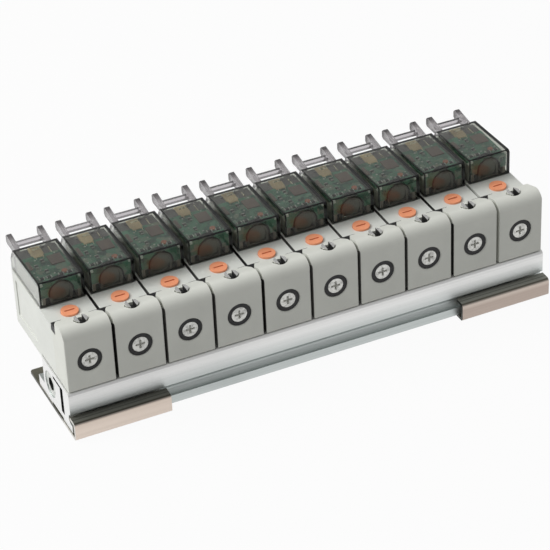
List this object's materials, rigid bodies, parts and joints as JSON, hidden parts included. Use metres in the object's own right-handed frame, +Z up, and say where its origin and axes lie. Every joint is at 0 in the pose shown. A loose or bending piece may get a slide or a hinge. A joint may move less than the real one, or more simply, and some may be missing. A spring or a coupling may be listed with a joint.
{
  "type": "valve manifold",
  "caption": "Row of solenoid valve modules on an extruded base with a formed bracket under each end, with sprung override buttons and smoked clear covers.",
  "frame": {"origin": "on the standing surface, below the middle of the object's bounding box", "axes": "+X along the row of stations, from the plugged end to the open supply port; +Y from the modules' front faces to the covers' lugs; +Z up"},
  "size_m": [0.1604, 0.055, 0.0412],
  "materials": {
    "base_metal": "anodised satin",
    "plated_sheet": "yellow passivated zinc, faint rolling lines",
    "screw_steel": "plated",
    "plug_metal": "satin",
    "black_rubber": "matt",
    "yoke_steel": "satin",
    "dark_plastic": "matt",
    "black_plastic": "matt",
    "disc_coating": "dipped",
    "copper_wire": "enamelled wire under varnish",
    "board_green": "solder mask",
    "lamp_red": "clear lens, unlit",
    "pin_brass": "plated",
    "body_plastic": "moulded, fine grain",
    "block_plastic": "moulded, fine grain",
    "button_orange": "moulded",
    "smoked_cover": "smoked clear plastic"
  },
  "bodies": {
    "manifold": {"manifold_base": "base_metal", "bracket_left": "plated_sheet", "bracket_right": "plated_sheet", "bracket_screws": "screw_steel", "port_plug": "plug_metal", "module_gaskets": "black_rubber", "front_screws": "screw_steel", "seal_rings": "black_rubber", "top_screws": "screw_steel", "coil_yokes": "yoke_steel", "coil_bobbins": "dark_plastic", "coil_windings": "copper_wire", "coil_cores": "yoke_steel", "circuit_boards": "board_green", "board_sockets": "dark_plastic", "signal_lamps": "lamp_red", "surge_discs": "disc_coating", "contact_pins": "pin_brass", "lock_clips": "black_plastic", "valve_body_1": "body_plastic", "valve_body_2": "body_plastic", "valve_body_3": "body_plastic", "valve_body_4": "body_plastic", "valve_body_5": "body_plastic", "valve_body_6": "body_plastic", "valve_body_7": "body_plastic", "valve_body_8": "body_plastic", "valve_body_9": "body_plastic", "valve_body_10": "body_plastic", "front_block_1": "block_plastic", "front_block_2": "block_plastic", "front_block_3": "block_plastic", "front_block_4": "block_plastic", "front_block_5": "block_plastic", "front_block_6": "block_plastic", "front_block_7": "block_plastic", "front_block_8": "block_plastic", "front_block_9": "block_plastic", "front_block_10": "block_plastic", "solenoid_cover_1": "smoked_cover", "solenoid_cover_2": "smoked_cover", "solenoid_cover_3": "smoked_cover", "solenoid_cover_4": "smoked_cover", "solenoid_cover_5": "smoked_cover", "solenoid_cover_6": "smoked_cover", "solenoid_cover_7": "smoked_cover", "solenoid_cover_8": "smoked_cover", "solenoid_cover_9": "smoked_cover", "solenoid_cover_10": "smoked_cover"},
    "button_1": {"override_button_1": "button_orange"},
    "button_2": {"override_button_2": "button_orange"},
    "button_3": {"override_button_3": "button_orange"},
    "button_4": {"override_button_4": "button_orange"},
    "button_5": {"override_button_5": "button_orange"},
    "button_6": {"override_button_6": "button_orange"},
    "button_7": {"override_button_7": "button_orange"},
    "button_8": {"override_button_8": "button_orange"},
    "button_9": {"override_button_9": "button_orange"},
    "button_10": {"override_button_10": "button_orange"}
  },
  "joints": [
    {"name": "button_1_press", "type": "slide", "parent": "manifold", "child": "button_1", "axis": [0, 0, -1], "range_m": [0, 0.0012], "stiffness_N_per_m": 400},
    {"name": "button_2_press", "type": "slide", "parent": "manifold", "child": "button_2", "axis": [0, 0, -1], "range_m": [0, 0.0012], "stiffness_N_per_m": 400},
    {"name": "button_3_press", "type": "slide", "parent": "manifold", "child": "button_3", "axis": [0, 0, -1], "range_m": [0, 0.0012], "stiffness_N_per_m": 400},
    {"name": "button_4_press", "type": "slide", "parent": "manifold", "child": "button_4", "axis": [0, 0, -1], "range_m": [0, 0.0012], "stiffness_N_per_m": 400},
    {"name": "button_5_press", "type": "slide", "parent": "manifold", "child": "button_5", "axis": [0, 0, -1], "range_m": [0, 0.0012], "stiffness_N_per_m": 400},
    {"name": "button_6_press", "type": "slide", "parent": "manifold", "child": "button_6", "axis": [0, 0, -1], "range_m": [0, 0.0012], "stiffness_N_per_m": 400},
    {"name": "button_7_press", "type": "slide", "parent": "manifold", "child": "button_7", "axis": [0, 0, -1], "range_m": [0, 0.0012], "stiffness_N_per_m": 400},
    {"name": "button_8_press", "type": "slide", "parent": "manifold", "child": "button_8", "axis": [0, 0, -1], "range_m": [0, 0.0012], "stiffness_N_per_m": 400},
    {"name": "button_9_press", "type": "slide", "parent": "manifold", "child": "button_9", "axis": [0, 0, -1], "range_m": [0, 0.0012], "stiffness_N_per_m": 400},
    {"name": "button_10_press", "type": "slide", "parent": "manifold", "child": "button_10", "axis": [0, 0, -1], "range_m": [0, 0.0012], "stiffness_N_per_m": 400}
  ]
}
